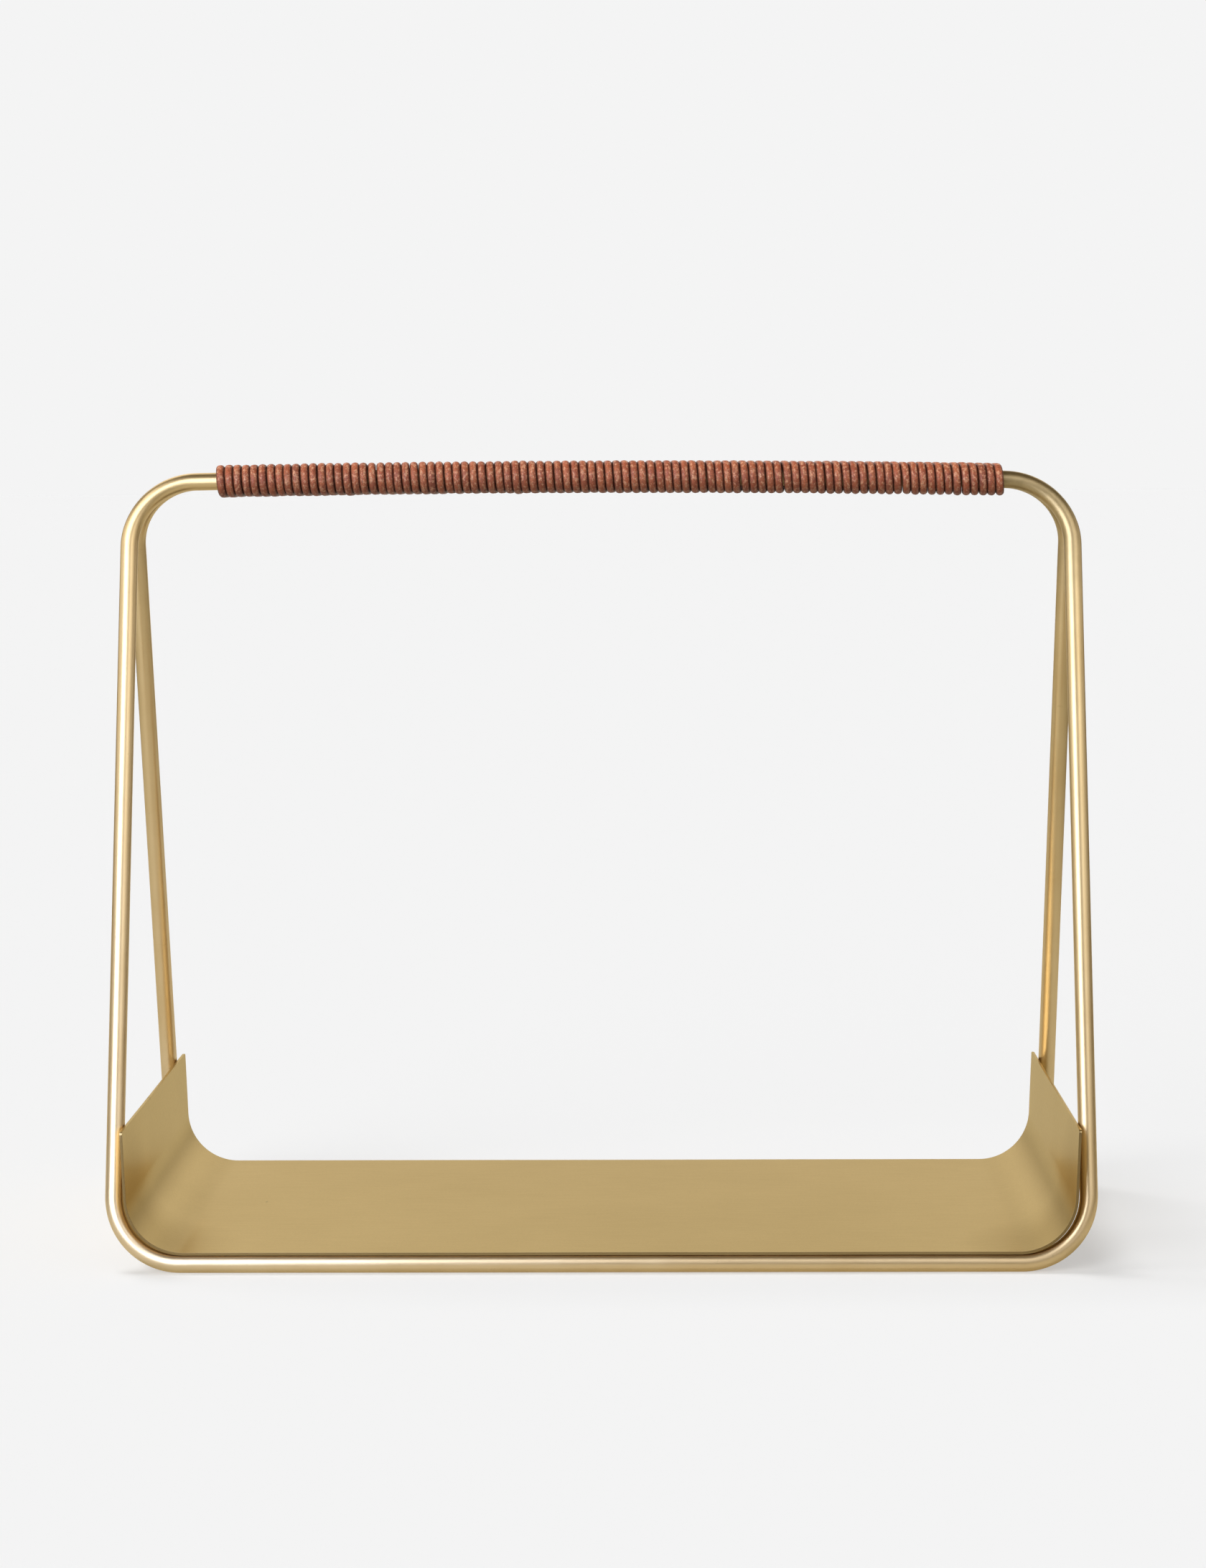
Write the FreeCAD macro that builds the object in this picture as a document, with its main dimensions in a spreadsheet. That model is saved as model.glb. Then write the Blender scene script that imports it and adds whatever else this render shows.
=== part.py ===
# Magazine rack: two closed tube loops lean together into an inverted V, a bent sheet
# tray lies on their bottom bars, and a leather cord is wound round both top bars.
#
# Frame: millimetres, +X along the handle, +Z up, the front of the rack towards -Y.
# The origin is on the floor, midway between the two bottom bars.

import FreeCAD, Part
import math
import os
import Sketcher

START = 1
END = 2

doc = FreeCAD.newDocument("MagazineRack")
sheet = doc.addObject("Spreadsheet::Sheet", "Sizes")

SIZES = [
    ("RackWidth", 440.0, "outside width of a loop"),
    ("BarTop", 351.0, "floor to the top of the top bars"),
    ("BarSpread", 196.0, "between the axes of the two bottom bars"),
    ("TubeDiameter", 8.0, "outside diameter of the loop tube"),
    ("TubeWall", 1.0, "wall of the loop tube"),
    ("BendRadius", 30.0, "centreline radius of a loop's four bends"),
    ("TopGap", 0.1, "gap between the two top bars"),
    ("SeamGap", 0.4, "gap between the two ends of a loop's tube, in its top bar"),
    ("SolderGap", 0.05, "space that solder fills between parts that are joined"),
    ("SpigotLength", 40.0, "length of the pin inside a loop's seam"),
    ("TrayThickness", 1.2, "thickness of the tray sheet"),
    ("TrayDepth", 200.0, "front to back of the tray"),
    ("TrayTop", 63.5, "floor to the top edge of the tray's end walls"),
    ("TrayCorner", 1.5, "rounding of the end walls' top corners"),
    ("TrayLean", 2.0, "how far the end walls lean outward, in degrees"),
    ("TrayLegGap", 0.4, "gap between a leg and the top of an end wall"),
    ("CordThickness", 3.4, "thickness of the leather cord on the bars"),
    ("WrapLength", 361.0, "length of the leather winding"),
    ("WrapShift", 4.4, "middle of the winding, off the middle of the rack"),
    ("WrapEdge", 1.5, "rounding of the winding's two ends"),
    ("BeadLength", 12.0, "length of one solder bead under the tray"),
    ("BeadWidth", 3.2, "how far a bead reaches inward from its bar's axis"),
    ("BeadDepth", 1.5, "how far a bead reaches down from the tray"),
    ("BeadInset", 1.2, "how far a bead starts inward from its bar's axis"),
    ("BeadSpacing", 90.0, "between the middles of two beads"),
    ("TackLength", 10.0, "length of one tack weld between the top bars"),
    ("TackWidth", 4.0, "width of a tack weld before the bars take their share"),
    ("TackTop", 1.6, "depth below the bars' axes where a tack weld starts"),
    ("TackBottom", 3.3, "depth below the bars' axes where a tack weld ends"),
    ("TackSpacing", 120.0, "between the middles of two tack welds"),
]

BEADS_PER_BAR = 5
TACKS = 3

for row, (alias, value, meaning) in enumerate(SIZES, start=1):
    sheet.set(f"A{row}", alias)
    sheet.set(f"B{row}", str(value))
    sheet.setAlias(f"B{row}", alias)
    sheet.set(f"C{row}", meaning)
doc.recompute()

# Lengths that several parts share, as expressions on the sheet.
TUBE_RADIUS = "Sizes.TubeDiameter / 2"
HALF_SPREAD = "Sizes.BarSpread / 2"
TOP_BAR_Y = "(Sizes.TubeDiameter + Sizes.TopGap) / 2"
TOP_BAR_Z = "(Sizes.BarTop - Sizes.TubeDiameter / 2)"
AXIS_HALF_WIDTH = "((Sizes.RackWidth - Sizes.TubeDiameter) / 2)"
LEAN_RUN = f"({HALF_SPREAD} - {TOP_BAR_Y})"
LEAN_RISE = "(Sizes.BarTop - Sizes.TubeDiameter)"
LOOP_HEIGHT = f"sqrt({LEAN_RUN} ^ 2 + {LEAN_RISE} ^ 2)"


def size(alias):
    """The value of one cell of the sheet."""
    return float(sheet.get(alias))


def bind(target, bindings):
    """Tie properties or named constraints of an object to the sheet."""
    for path, expression in bindings.items():
        target.setExpression(path, expression)


def new_sketch(body, name, role):
    """An empty sketch on one of the body's own origin planes."""
    sketch = body.newObject("Sketcher::SketchObject", name)
    plane = [feature for feature in body.Origin.OriginFeatures if feature.Role == role][0]
    sketch.AttachmentSupport = (plane, "")
    sketch.MapMode = "FlatFace"
    return sketch


def dimension(sketch, name, expression, *constraint):
    """Add one driving dimension and tie it to the sheet."""
    index = sketch.addConstraint(Sketcher.Constraint(*constraint))
    sketch.renameConstraint(index, name)
    sketch.setExpression(f"Constraints.{name}", expression)


def point(x, y):
    return FreeCAD.Vector(x, y, 0)


def add_line(sketch, start, end):
    return sketch.addGeometry(Part.LineSegment(point(*start), point(*end)))


def add_arc(sketch, centre, radius, start_angle, end_angle):
    """An arc, run anticlockwise between two angles in degrees."""
    circle = Part.Circle(point(*centre), FreeCAD.Vector(0, 0, 1), radius)
    arc = Part.ArcOfCircle(circle, math.radians(start_angle), math.radians(end_angle))
    return sketch.addGeometry(arc)


def join_smoothly(sketch, first, first_end, second, second_end):
    sketch.addConstraint(Sketcher.Constraint("Tangent", first, first_end, second, second_end))


def join(sketch, first, first_end, second, second_end):
    sketch.addConstraint(Sketcher.Constraint("Coincident", first, first_end, second, second_end))


def draw_loop_path(sketch):
    """The centreline of a loop, open at the seam in the middle of its top bar."""
    side = (size("RackWidth") - size("TubeDiameter")) / 2
    run = (size("BarSpread") - size("TubeDiameter") - size("TopGap")) / 2
    top = math.hypot(run, size("BarTop") - size("TubeDiameter"))
    bend = size("BendRadius")
    seam = size("SeamGap") / 2
    flat = side - bend

    top_right = add_line(sketch, (seam, top), (flat, top))
    bend_top_right = add_arc(sketch, (flat, top - bend), bend, 0, 90)
    right = add_line(sketch, (side, top - bend), (side, bend))
    bend_low_right = add_arc(sketch, (flat, bend), bend, 270, 360)
    bottom = add_line(sketch, (flat, 0), (-flat, 0))
    bend_low_left = add_arc(sketch, (-flat, bend), bend, 180, 270)
    left = add_line(sketch, (-side, bend), (-side, top - bend))
    bend_top_left = add_arc(sketch, (-flat, top - bend), bend, 90, 180)
    top_left = add_line(sketch, (-flat, top), (-seam, top))

    join_smoothly(sketch, top_right, END, bend_top_right, END)
    join_smoothly(sketch, bend_top_right, START, right, START)
    join_smoothly(sketch, right, END, bend_low_right, END)
    join_smoothly(sketch, bend_low_right, START, bottom, START)
    join_smoothly(sketch, bottom, END, bend_low_left, END)
    join_smoothly(sketch, bend_low_left, START, left, START)
    join_smoothly(sketch, left, END, bend_top_left, END)
    join_smoothly(sketch, bend_top_left, START, top_left, START)
    for line in (top_right, bottom, top_left):
        sketch.addConstraint(Sketcher.Constraint("Horizontal", line))
    for line in (right, left):
        sketch.addConstraint(Sketcher.Constraint("Vertical", line))
    for arc in (bend_low_right, bend_low_left, bend_top_left):
        sketch.addConstraint(Sketcher.Constraint("Equal", bend_top_right, arc))

    dimension(sketch, "Bend", "Sizes.BendRadius", "Radius", bend_top_right, bend)
    dimension(sketch, "RightSide", AXIS_HALF_WIDTH, "DistanceX", -1, 1, right, START, side)
    dimension(sketch, "LeftSide", AXIS_HALF_WIDTH, "DistanceX", left, END, -1, 1, side)
    dimension(sketch, "Height", LOOP_HEIGHT, "DistanceY", -1, 1, top_right, START, top)
    sketch.addConstraint(Sketcher.Constraint("PointOnObject", bottom, START, -1))
    dimension(sketch, "SeamRight", "Sizes.SeamGap / 2", "DistanceX", -1, 1, top_right, START, seam)
    dimension(sketch, "SeamLeft", "Sizes.SeamGap / 2", "DistanceX", top_left, END, -1, 1, seam)
    sketch.addConstraint(Sketcher.Constraint("Horizontal", top_right, START, top_left, END))
    return top


def make_loop(label, side):
    """One closed loop of tube; side is -1 for the front loop and 1 for the rear."""
    body = doc.addObject("PartDesign::Body", label)
    path = new_sketch(body, label + "_path", "XZ_Plane")
    top = draw_loop_path(path)

    section = new_sketch(body, label + "_section", "YZ_Plane")
    section.setExpression("AttachmentOffset.Base.z", "Sizes.SeamGap / 2")
    outer_radius = size("TubeDiameter") / 2
    bore_radius = outer_radius - size("TubeWall")
    for name, radius, expression in (
        ("Outside", outer_radius, TUBE_RADIUS),
        ("Bore", bore_radius, f"{TUBE_RADIUS} - Sizes.TubeWall"),
    ):
        ring = section.addGeometry(Part.Circle(point(0, top), FreeCAD.Vector(0, 0, 1), radius))
        dimension(section, name, expression, "Radius", ring, radius)
        section.addConstraint(Sketcher.Constraint("PointOnObject", ring, 3, -2))
        dimension(section, name + "Height", LOOP_HEIGHT, "DistanceY", -1, 1, ring, 3, top)

    tube = body.newObject("PartDesign::AdditivePipe", label + "_tube")
    tube.Profile = section
    tube.Spine = path
    body.Tip = tube

    # The loop leans towards the middle, so that its top bar meets the other loop's.
    body.Placement = FreeCAD.Placement(FreeCAD.Vector(), FreeCAD.Vector(side, 0, 0), 15)
    bind(body, {
        "Placement.Base.y": f"{side} * {HALF_SPREAD}",
        "Placement.Base.z": TUBE_RADIUS,
        "Placement.Rotation.Angle": f"atan2({LEAN_RUN}; {LEAN_RISE})",
    })
    return body


def make_spigot(label, side):
    """The pin that holds the two ends of a loop's tube in line at its seam."""
    pin = doc.addObject("Part::Cylinder", label)
    pin.Placement = FreeCAD.Placement(FreeCAD.Vector(), FreeCAD.Vector(0, 1, 0), 90)
    bind(pin, {
        "Radius": f"{TUBE_RADIUS} - Sizes.TubeWall - Sizes.SolderGap",
        "Height": "Sizes.SpigotLength",
        "Placement.Base.x": "-Sizes.SpigotLength / 2",
        "Placement.Base.y": f"{side} * {TOP_BAR_Y}",
        "Placement.Base.z": TOP_BAR_Z,
    })
    return pin


def make_tray():
    """One sheet bent up at both ends. Its end walls lean outward until they almost meet the legs."""
    body = doc.addObject("PartDesign::Body", "tray")
    profile = new_sketch(body, "tray_profile", "XZ_Plane")
    gap = size("SolderGap")
    thickness = size("TrayThickness")
    side = size("RackWidth") / 2 - size("TubeDiameter") - size("TrayLegGap")
    floor = size("TubeDiameter") + gap
    outer = size("BendRadius") - size("TubeDiameter") / 2
    inner = outer - thickness
    top = size("TrayTop")

    lean = size("TrayLean")
    slope = math.tan(math.radians(lean))
    along = math.cos(math.radians(lean))
    down = math.sin(math.radians(lean))
    centre_z = floor + outer
    wall_foot_z = centre_z - outer * down
    wall_foot_x = side - (top - wall_foot_z) * slope
    centre_x = wall_foot_x - outer * along
    inner_foot_x = centre_x + inner * along
    inner_foot_z = centre_z - inner * down
    inner_side = inner_foot_x + (top - inner_foot_z) * slope

    outside_left = add_line(profile, (-side, top), (-wall_foot_x, wall_foot_z))
    outer_bend_left = add_arc(profile, (-centre_x, centre_z), outer, 180 + lean, 270)
    underside = add_line(profile, (-centre_x, floor), (centre_x, floor))
    outer_bend_right = add_arc(profile, (centre_x, centre_z), outer, 270, 360 - lean)
    outside_right = add_line(profile, (wall_foot_x, wall_foot_z), (side, top))
    edge_right = add_line(profile, (side, top), (inner_side, top))
    inside_right = add_line(profile, (inner_side, top), (inner_foot_x, inner_foot_z))
    inner_bend_right = add_arc(profile, (centre_x, centre_z), inner, 270, 360 - lean)
    upper_side = add_line(profile, (centre_x, floor + thickness), (-centre_x, floor + thickness))
    inner_bend_left = add_arc(profile, (-centre_x, centre_z), inner, 180 + lean, 270)
    inside_left = add_line(profile, (-inner_foot_x, inner_foot_z), (-inner_side, top))
    edge_left = add_line(profile, (-inner_side, top), (-side, top))

    join_smoothly(profile, outside_left, END, outer_bend_left, START)
    join_smoothly(profile, outer_bend_left, END, underside, START)
    join_smoothly(profile, underside, END, outer_bend_right, START)
    join_smoothly(profile, outer_bend_right, END, outside_right, START)
    join(profile, outside_right, END, edge_right, START)
    join(profile, edge_right, END, inside_right, START)
    join_smoothly(profile, inside_right, END, inner_bend_right, END)
    join_smoothly(profile, inner_bend_right, START, upper_side, START)
    join_smoothly(profile, upper_side, END, inner_bend_left, END)
    join_smoothly(profile, inner_bend_left, START, inside_left, START)
    join(profile, inside_left, END, edge_left, START)
    join(profile, edge_left, END, outside_left, START)
    join(profile, outer_bend_left, 3, inner_bend_left, 3)
    join(profile, outer_bend_right, 3, inner_bend_right, 3)
    for line in (edge_right, edge_left, underside):
        profile.addConstraint(Sketcher.Constraint("Horizontal", line))
    profile.addConstraint(Sketcher.Constraint("Parallel", inside_right, outside_right))
    profile.addConstraint(Sketcher.Constraint("Parallel", inside_left, outside_left))
    profile.addConstraint(Sketcher.Constraint("Equal", inner_bend_left, inner_bend_right))
    profile.addConstraint(Sketcher.Constraint("Symmetric", outside_left, START, outside_right, END, -2))
    profile.addConstraint(Sketcher.Constraint("Symmetric", outer_bend_left, 3, outer_bend_right, 3, -2))

    half_width = "Sizes.RackWidth / 2 - Sizes.TubeDiameter - Sizes.TrayLegGap"
    dimension(profile, "WallSide", half_width, "DistanceX", -1, 1, outside_right, END, side)
    dimension(profile, "FloorHeight", "Sizes.TubeDiameter + Sizes.SolderGap",
              "DistanceY", -1, 1, underside, START, floor)
    dimension(profile, "WallTop", "Sizes.TrayTop", "DistanceY", -1, 1, outside_right, END, top)
    dimension(profile, "WallAngle", "(90 - Sizes.TrayLean) * 1 deg", "Angle", outside_right, math.radians(90 - lean))
    dimension(profile, "OuterBend", f"Sizes.BendRadius - {TUBE_RADIUS}",
              "Radius", outer_bend_right, outer)
    dimension(profile, "InnerBend", f"Sizes.BendRadius - {TUBE_RADIUS} - Sizes.TrayThickness",
              "Radius", inner_bend_right, inner)

    blank = body.newObject("PartDesign::Pad", "tray_blank")
    blank.Profile = profile
    blank.SideType = "Symmetric"
    blank.setExpression("Length", "Sizes.TrayDepth")
    doc.recompute()

    corners = body.newObject("PartDesign::Fillet", "tray_corners")
    corners.Base = (blank, corner_edges(blank.Shape, top, size("TrayDepth") / 2))
    corners.setExpression("Radius", "Sizes.TrayCorner")
    body.Tip = corners
    return body


def corner_edges(shape, height, reach):
    """Names of the short edges through the sheet at the end walls' top corners."""
    names = []
    for number, edge in enumerate(shape.Edges, start=1):
        ends = [vertex.Point for vertex in edge.Vertexes]
        at_top = all(abs(end.z - height) < 0.01 for end in ends)
        at_side = all(abs(abs(end.y) - reach) < 0.01 for end in ends)
        if at_top and at_side and edge.BoundBox.YLength < 0.01:
            names.append(f"Edge{number}")
    return names


def draw_rounded_slot(sketch, name, half_length, radius, half_expression, radius_expression):
    """A straight-sided oval about the sketch's origin, long across the rack."""
    right = add_arc(sketch, (half_length, 0), radius, 270, 90)
    top = add_line(sketch, (half_length, radius), (-half_length, radius))
    left = add_arc(sketch, (-half_length, 0), radius, 90, 270)
    bottom = add_line(sketch, (-half_length, -radius), (half_length, -radius))
    join_smoothly(sketch, right, END, top, START)
    join_smoothly(sketch, top, END, left, START)
    join_smoothly(sketch, left, END, bottom, START)
    join_smoothly(sketch, bottom, END, right, START)
    sketch.addConstraint(Sketcher.Constraint("PointOnObject", right, 3, -1))
    sketch.addConstraint(Sketcher.Constraint("PointOnObject", left, 3, -1))
    dimension(sketch, name + "Radius", radius_expression, "Radius", right, radius)
    dimension(sketch, name + "Right", half_expression, "DistanceX", -1, 1, right, 3, half_length)
    dimension(sketch, name + "Left", half_expression, "DistanceX", left, 3, -1, 1, half_length)


def make_leather_wrap():
    """The outer shape of the leather cord, wound side by side round both top bars."""
    body = doc.addObject("PartDesign::Body", "leather_wrap")
    section = new_sketch(body, "wrap_section", "YZ_Plane")
    half_length = (size("TubeDiameter") + size("TopGap")) / 2
    inner = size("TubeDiameter") / 2 + size("SolderGap")
    inner_expression = f"{TUBE_RADIUS} + Sizes.SolderGap"
    outer_expression = f"{inner_expression} + Sizes.CordThickness"
    draw_rounded_slot(section, "Inner", half_length, inner, TOP_BAR_Y, inner_expression)
    draw_rounded_slot(section, "Outer", half_length, inner + size("CordThickness"),
                      TOP_BAR_Y, outer_expression)

    winding = body.newObject("PartDesign::Pad", "wrap_winding")
    winding.Profile = section
    winding.SideType = "Symmetric"
    winding.setExpression("Length", "Sizes.WrapLength")
    doc.recompute()

    ends = body.newObject("PartDesign::Fillet", "wrap_ends")
    reach = size("WrapLength") / 2
    outer_height = inner + size("CordThickness")
    ends.Base = (winding, end_rim_edges(winding.Shape, reach, outer_height))
    ends.setExpression("Radius", "Sizes.WrapEdge")
    body.Tip = ends
    bind(body, {"Placement.Base.x": "Sizes.WrapShift", "Placement.Base.z": TOP_BAR_Z})
    return body


def end_rim_edges(shape, reach, outer_height):
    """Names of the edges round the outside of the winding's two ends."""
    names = []
    for number, edge in enumerate(shape.Edges, start=1):
        box = edge.BoundBox
        flat_end = abs(abs(box.Center.x) - reach) < 0.01
        outer = max(abs(box.ZMin), abs(box.ZMax)) > outer_height - 0.01
        if flat_end and outer and box.XLength < 0.01:
            names.append(f"Edge{number}")
    return names


def make_bar_cylinder(label, length, y_expression, z_expression):
    """The space that a straight bar fills, to take away from a bead of solder."""
    bar = doc.addObject("Part::Cylinder", label)
    bar.Placement = FreeCAD.Placement(FreeCAD.Vector(), FreeCAD.Vector(0, 1, 0), 90)
    bind(bar, {
        "Radius": TUBE_RADIUS,
        "Height": length,
        "Placement.Base.x": f"-({length}) / 2",
        "Placement.Base.y": y_expression,
        "Placement.Base.z": z_expression,
    })
    return bar


def make_bead_row(label, count, box_bindings, spacing, bars):
    """Equal beads in a row along X, each shaped by the bars that it joins."""
    boxes = []
    for index in range(count):
        offset = index - (count - 1) / 2
        box = doc.addObject("Part::Box", f"{label}_blank_{index + 1}")
        bind(box, box_bindings)
        box.setExpression("Placement.Base.x", f"{offset} * {spacing} - {box_bindings['Length']} / 2")
        boxes.append(box)
    row = doc.addObject("Part::Compound", label + "_blanks")
    row.Links = boxes
    taken = bars[0]
    if len(bars) > 1:
        taken = doc.addObject("Part::MultiFuse", label + "_bars")
        taken.Shapes = bars
    beads = doc.addObject("Part::Cut", label)
    beads.Base = row
    beads.Tool = taken
    return beads


def make_tray_solder(label, side):
    """Short beads in the corner between the tray's underside and one bottom bar."""
    bar = make_bar_cylinder(label + "_bar", "Sizes.RackWidth",
                            f"{side} * {HALF_SPREAD}", TUBE_RADIUS)
    near = f"({HALF_SPREAD} - Sizes.BeadWidth)"
    far = f"({HALF_SPREAD} - Sizes.BeadInset)"
    start = near if side > 0 else f"-{far}"
    box_bindings = {
        "Length": "Sizes.BeadLength",
        "Width": "Sizes.BeadWidth - Sizes.BeadInset",
        "Height": "Sizes.BeadDepth",
        "Placement.Base.y": start,
        "Placement.Base.z": "Sizes.TubeDiameter + Sizes.SolderGap - Sizes.BeadDepth",
    }
    return make_bead_row(label, BEADS_PER_BAR, box_bindings, "Sizes.BeadSpacing", [bar])


def make_top_tacks():
    """Tack welds in the groove under the two top bars, hidden by the leather."""
    bars = [
        make_bar_cylinder(f"top_bar_tacks_bar_{number}", "Sizes.WrapLength",
                          f"{side} * {TOP_BAR_Y}", TOP_BAR_Z)
        for number, side in ((1, -1), (2, 1))
    ]
    box_bindings = {
        "Length": "Sizes.TackLength",
        "Width": "Sizes.TackWidth",
        "Height": "Sizes.TackBottom - Sizes.TackTop",
        "Placement.Base.y": "-Sizes.TackWidth / 2",
        "Placement.Base.z": f"{TOP_BAR_Z} - Sizes.TackBottom",
    }
    return make_bead_row("top_bar_tacks", TACKS, box_bindings, "Sizes.TackSpacing", bars)


parts = [
    make_loop("front_loop", -1),
    make_loop("rear_loop", 1),
    make_spigot("front_seam_pin", -1),
    make_spigot("rear_seam_pin", 1),
    make_top_tacks(),
    make_tray(),
    make_tray_solder("front_tray_solder", -1),
    make_tray_solder("rear_tray_solder", 1),
    make_leather_wrap(),
]
doc.recompute()

for item in doc.Objects:
    if "Invalid" in item.State or "Error" in item.State:
        raise RuntimeError(f"{item.Name} failed: {item.State}")
for part in parts:
    if part.Shape.isNull() or not part.Shape.isValid():
        raise RuntimeError(f"{part.Label} has no valid shape")

os.makedirs("parts", exist_ok=True)
for part in parts:
    part.Shape.exportStep(f"parts/{part.Label}.step")
    box = part.Shape.BoundBox
    print(f"{part.Label}: {len(part.Shape.Solids)} solid(s), {part.Shape.Volume / 1000:.2f} cm3, "
          f"x {box.XMin:.2f} to {box.XMax:.2f}, y {box.YMin:.2f} to {box.YMax:.2f}, "
          f"z {box.ZMin:.2f} to {box.ZMax:.2f}")
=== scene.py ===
import math
import random

import bmesh
import bpy
from mathutils import Matrix, Vector, noise


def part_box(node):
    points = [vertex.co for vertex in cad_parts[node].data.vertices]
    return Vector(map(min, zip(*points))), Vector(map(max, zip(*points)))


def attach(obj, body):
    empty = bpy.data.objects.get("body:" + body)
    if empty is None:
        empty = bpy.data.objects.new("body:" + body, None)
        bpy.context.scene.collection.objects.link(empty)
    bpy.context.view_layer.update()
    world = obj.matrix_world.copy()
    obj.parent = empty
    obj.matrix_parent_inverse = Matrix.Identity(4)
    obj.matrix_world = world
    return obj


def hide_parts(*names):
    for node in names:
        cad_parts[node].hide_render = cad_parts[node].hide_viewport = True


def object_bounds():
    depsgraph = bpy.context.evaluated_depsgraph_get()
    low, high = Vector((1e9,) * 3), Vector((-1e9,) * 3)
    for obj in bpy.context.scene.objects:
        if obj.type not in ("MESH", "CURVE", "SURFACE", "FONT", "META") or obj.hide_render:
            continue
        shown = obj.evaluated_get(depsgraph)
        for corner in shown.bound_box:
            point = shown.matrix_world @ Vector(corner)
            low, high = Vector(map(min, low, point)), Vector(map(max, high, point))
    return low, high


# The looks of the magazine rack, in metres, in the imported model's own frame:
# +X along the handle, +Z up, the front of the rack towards -Y, the floor at z = 0.

MM = 0.001

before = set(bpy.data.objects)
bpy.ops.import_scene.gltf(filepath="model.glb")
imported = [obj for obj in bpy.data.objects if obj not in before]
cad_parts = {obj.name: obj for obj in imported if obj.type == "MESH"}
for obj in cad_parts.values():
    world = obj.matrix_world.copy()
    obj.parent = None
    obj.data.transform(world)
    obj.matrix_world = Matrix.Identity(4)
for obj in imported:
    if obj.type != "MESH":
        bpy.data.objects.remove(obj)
cad_low, cad_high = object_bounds()
random.seed(11)


# ---------------------------------------------------------------- node helpers

# The mix node's sockets for the factor, the two colours and the result.
MIX_INPUTS = (0, 6, 7)
MIX_RESULT = 2


def new_material(name):
    """An empty node material with its Principled shader, ready to be wired."""
    material = bpy.data.materials.new(name)
    material.use_nodes = True
    return material, material.node_tree, material.node_tree.nodes["Principled BSDF"]


def add_node(tree, kind, **settings):
    """A shader node; settings name its properties or, failing that, its input sockets."""
    node = tree.nodes.new(kind)
    for key, value in settings.items():
        if hasattr(node, key):
            setattr(node, key, value)
        else:
            node.inputs[key.replace("_", " ")].default_value = value
    return node


def wire(tree, output, socket):
    tree.links.new(output, socket)


def feed(tree, source, socket):
    """Wire a socket, or set its value, by what the source is."""
    if isinstance(source, bpy.types.NodeSocket):
        wire(tree, source, socket)
    else:
        socket.default_value = source


def object_coordinates(tree, scale=(1.0, 1.0, 1.0)):
    """Coordinates in metres times scale, the same in every view."""
    place = add_node(tree, "ShaderNodeTexCoord")
    mapping = add_node(tree, "ShaderNodeMapping")
    mapping.inputs["Scale"].default_value = scale
    wire(tree, place.outputs["Object"], mapping.inputs["Vector"])
    return mapping.outputs["Vector"]


def noise_texture(tree, vector, scale, detail=3.0, roughness=0.5):
    texture = add_node(tree, "ShaderNodeTexNoise", Scale=scale, Detail=detail, Roughness=roughness)
    wire(tree, vector, texture.inputs["Vector"])
    return texture.outputs["Fac"]


def value_range(tree, value, low, high, out_low=0.0, out_high=1.0):
    """Map low..high onto out_low..out_high, clamped."""
    node = add_node(tree, "ShaderNodeMapRange")
    for socket, number in (("From Min", low), ("From Max", high), ("To Min", out_low), ("To Max", out_high)):
        node.inputs[socket].default_value = number
    wire(tree, value, node.inputs["Value"])
    return node.outputs["Result"]


def mix_colour(tree, factor, first, second, blend="MIX"):
    """Mix two colours; each is a colour tuple or a socket, and so is the factor."""
    node = add_node(tree, "ShaderNodeMix", data_type="RGBA", blend_type=blend)
    for number, source in zip(MIX_INPUTS, (factor, first, second)):
        feed(tree, source, node.inputs[number])
    return node.outputs[MIX_RESULT]


def calculate(tree, operation, first, second):
    """A math node; each input is a number or a socket."""
    node = add_node(tree, "ShaderNodeMath", operation=operation)
    for number, source in enumerate((first, second)):
        feed(tree, source, node.inputs[number])
    return node.outputs["Value"]


def axis_of(tree, vector, axis):
    """One axis, X, Y or Z, of a vector socket."""
    node = add_node(tree, "ShaderNodeSeparateXYZ")
    wire(tree, vector, node.inputs["Vector"])
    return node.outputs[axis]


def distance_from(tree, place, point):
    reach = add_node(tree, "ShaderNodeVectorMath", operation="DISTANCE")
    wire(tree, place, reach.inputs[0])
    reach.inputs[1].default_value = point
    return reach.outputs["Value"]


def add_bump(tree, shader, height, distance, strength, under=None):
    """Bump from a height socket; under is the normal of a bump below this one."""
    bump = add_node(tree, "ShaderNodeBump", Distance=distance, Strength=strength)
    wire(tree, height, bump.inputs["Height"])
    if under is not None:
        wire(tree, under, bump.inputs["Normal"])
    wire(tree, bump.outputs["Normal"], shader.inputs["Normal"])
    return bump.outputs["Normal"]


def colour_ramp(tree, share, stops):
    """Colours along a share of 0 to 1; stops are pairs of share and colour, from first to last."""
    node = add_node(tree, "ShaderNodeValToRGB")
    elements = node.color_ramp.elements
    for position, _ in stops[1:-1]:
        elements.new(position)
    for element, (position, colour) in zip(elements, stops):
        element.position = position
        element.color = colour
    wire(tree, share, node.inputs["Fac"])
    return node.outputs["Color"]


def attribute_vector(tree, name):
    """A vector kept for each vertex of the mesh."""
    return add_node(tree, "ShaderNodeAttribute", attribute_name=name).outputs["Vector"]


def srgb(red, green, blue):
    """A colour given as screen values of 0 to 255, as the linear colour that shaders take."""
    def linear(value):
        value /= 255
        return value / 12.92 if value <= 0.04045 else ((value + 0.055) / 1.055) ** 2.4
    return (linear(red), linear(green), linear(blue), 1.0)


# ---------------------------------------------------------------- materials

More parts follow.
